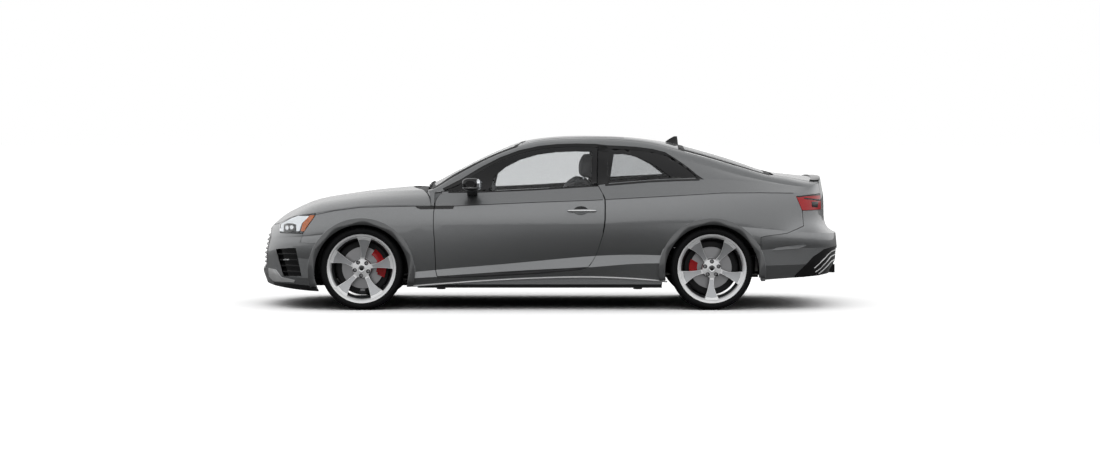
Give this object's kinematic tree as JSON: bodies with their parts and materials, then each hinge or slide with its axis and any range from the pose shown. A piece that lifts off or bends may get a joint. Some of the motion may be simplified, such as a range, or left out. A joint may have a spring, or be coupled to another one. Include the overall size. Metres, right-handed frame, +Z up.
{
  "type": "coupe car",
  "caption": "Fastback coupe car that rolls on wheels, with steered front wheels, opening doors, bonnet and boot lid.",
  "frame": {"origin": "on the ground under the centre of the car's overall box", "axes": "-X towards the nose, -Y towards the car's left side, +Z up"},
  "size_m": [4.694, 2.0276, 1.3736],
  "materials": {
    "body_paint": "metallic gloss",
    "glazing": "tinted",
    "black_trim": "gloss",
    "dark_plastic": "textured",
    "lamp_clear": "clear",
    "lamp_red": "clear red",
    "steel_parts": "satin black",
    "engine_alloy": "cast",
    "exhaust_steel": "brushed",
    "brake_disc": "ground",
    "caliper_red": "gloss",
    "wheel_alloy": "painted and machined",
    "tyre": "matte",
    "seat_leather": "matte"
  },
  "bodies": {
    "body": {"side_frame_left": "body_paint", "side_frame_right": "body_paint", "roof_panel": "body_paint", "roof_glass": "glazing", "windscreen": "glazing", "rear_window": "glazing", "quarter_glasses": "glazing", "fender_left": "body_paint", "fender_right": "body_paint", "front_bumper": "body_paint", "grille": "black_trim", "headlamps": "lamp_clear", "rear_bumper": "body_paint", "diffuser": "black_trim", "exhaust": "exhaust_steel", "tail_lamps": "lamp_red", "side_skirts": "body_paint", "floor_pan": "steel_parts", "firewall": "steel_parts", "parcel_shelf": "dark_plastic", "wheel_liners": "dark_plastic", "engine": "engine_alloy", "front_subframe": "steel_parts", "rear_axle": "steel_parts", "rear_calipers": "caliper_red", "front_seats": "seat_leather", "rear_seat": "seat_leather", "dashboard": "dark_plastic", "antenna_fin": "black_trim", "wipers": "dark_plastic"},
    "hood": {"hood": "body_paint"},
    "trunk_lid": {"trunk_lid": "body_paint", "spoiler": "black_trim"},
    "door_left": {"door_left": "body_paint", "door_handle_left": "body_paint", "door_glass_left": "glazing", "mirror_left": "black_trim"},
    "door_right": {"door_right": "body_paint", "door_handle_right": "body_paint", "door_glass_right": "glazing", "mirror_right": "black_trim"},
    "knuckle_left": {"knuckle_left": "steel_parts", "caliper_left": "caliper_red"},
    "knuckle_right": {"knuckle_right": "steel_parts", "caliper_right": "caliper_red"},
    "steering_wheel": {"steering_wheel": "dark_plastic"},
    "wheel_front_left": {"tyre_front_left": "tyre", "rim_front_left": "wheel_alloy", "disc_front_left": "brake_disc"},
    "wheel_front_right": {"tyre_front_right": "tyre", "rim_front_right": "wheel_alloy", "disc_front_right": "brake_disc"},
    "wheel_rear_left": {"tyre_rear_left": "tyre", "rim_rear_left": "wheel_alloy", "disc_rear_left": "brake_disc"},
    "wheel_rear_right": {"tyre_rear_right": "tyre", "rim_rear_right": "wheel_alloy", "disc_rear_right": "brake_disc"}
  },
  "joints": [
    {"name": "door_left_hinge", "type": "hinge", "parent": "body", "child": "door_left", "pos_m": [-0.85, -0.864, 0.56], "axis": [0, 0, -1], "range_deg": [0, 60]},
    {"name": "door_right_hinge", "type": "hinge", "parent": "body", "child": "door_right", "pos_m": [-0.85, 0.864, 0.56], "axis": [0, 0, 1], "range_deg": [0, 60]},
    {"name": "hood_hinge", "type": "hinge", "parent": "body", "child": "hood", "pos_m": [-0.945, 0, 0.925], "axis": [0, 1, 0], "range_deg": [0, 50]},
    {"name": "trunk_hinge", "type": "hinge", "parent": "body", "child": "trunk_lid", "pos_m": [1.837, 0, 1.032], "axis": [0, -1, 0], "range_deg": [0, 72]},
    {"name": "steer_left", "type": "hinge", "parent": "body", "child": "knuckle_left", "pos_m": [-1.4825, -0.768, 0.328], "axis": [0, 0, 1], "range_deg": [-36, 36]},
    {"name": "steer_right", "type": "hinge", "parent": "body", "child": "knuckle_right", "pos_m": [-1.4825, 0.768, 0.328], "axis": [0, 0, 1], "range_deg": [-36, 36]},
    {"name": "steering_wheel_turn", "type": "hinge", "parent": "body", "child": "steering_wheel", "pos_m": [-0.395, -0.37, 0.838], "axis": [0.9135, 0, 0.4067], "range_deg": [-540, 540]},
    {"name": "front_left_spin", "type": "hinge", "parent": "knuckle_left", "child": "wheel_front_left", "pos_m": [-1.4825, -0.783, 0.328], "axis": [0, 1, 0], "continuous": true},
    {"name": "front_right_spin", "type": "hinge", "parent": "knuckle_right", "child": "wheel_front_right", "pos_m": [-1.4825, 0.783, 0.328], "axis": [0, 1, 0], "continuous": true},
    {"name": "rear_left_spin", "type": "hinge", "parent": "body", "child": "wheel_rear_left", "pos_m": [1.2815, -0.783, 0.328], "axis": [0, 1, 0], "continuous": true},
    {"name": "rear_right_spin", "type": "hinge", "parent": "body", "child": "wheel_rear_right", "pos_m": [1.2815, 0.783, 0.328], "axis": [0, 1, 0], "continuous": true}
  ],
  "couplings": [
    {"joint": "steer_right", "follows": "steer_left", "ratio": 1},
    {"joint": "steering_wheel_turn", "follows": "steer_left", "ratio": 14}
  ]
}
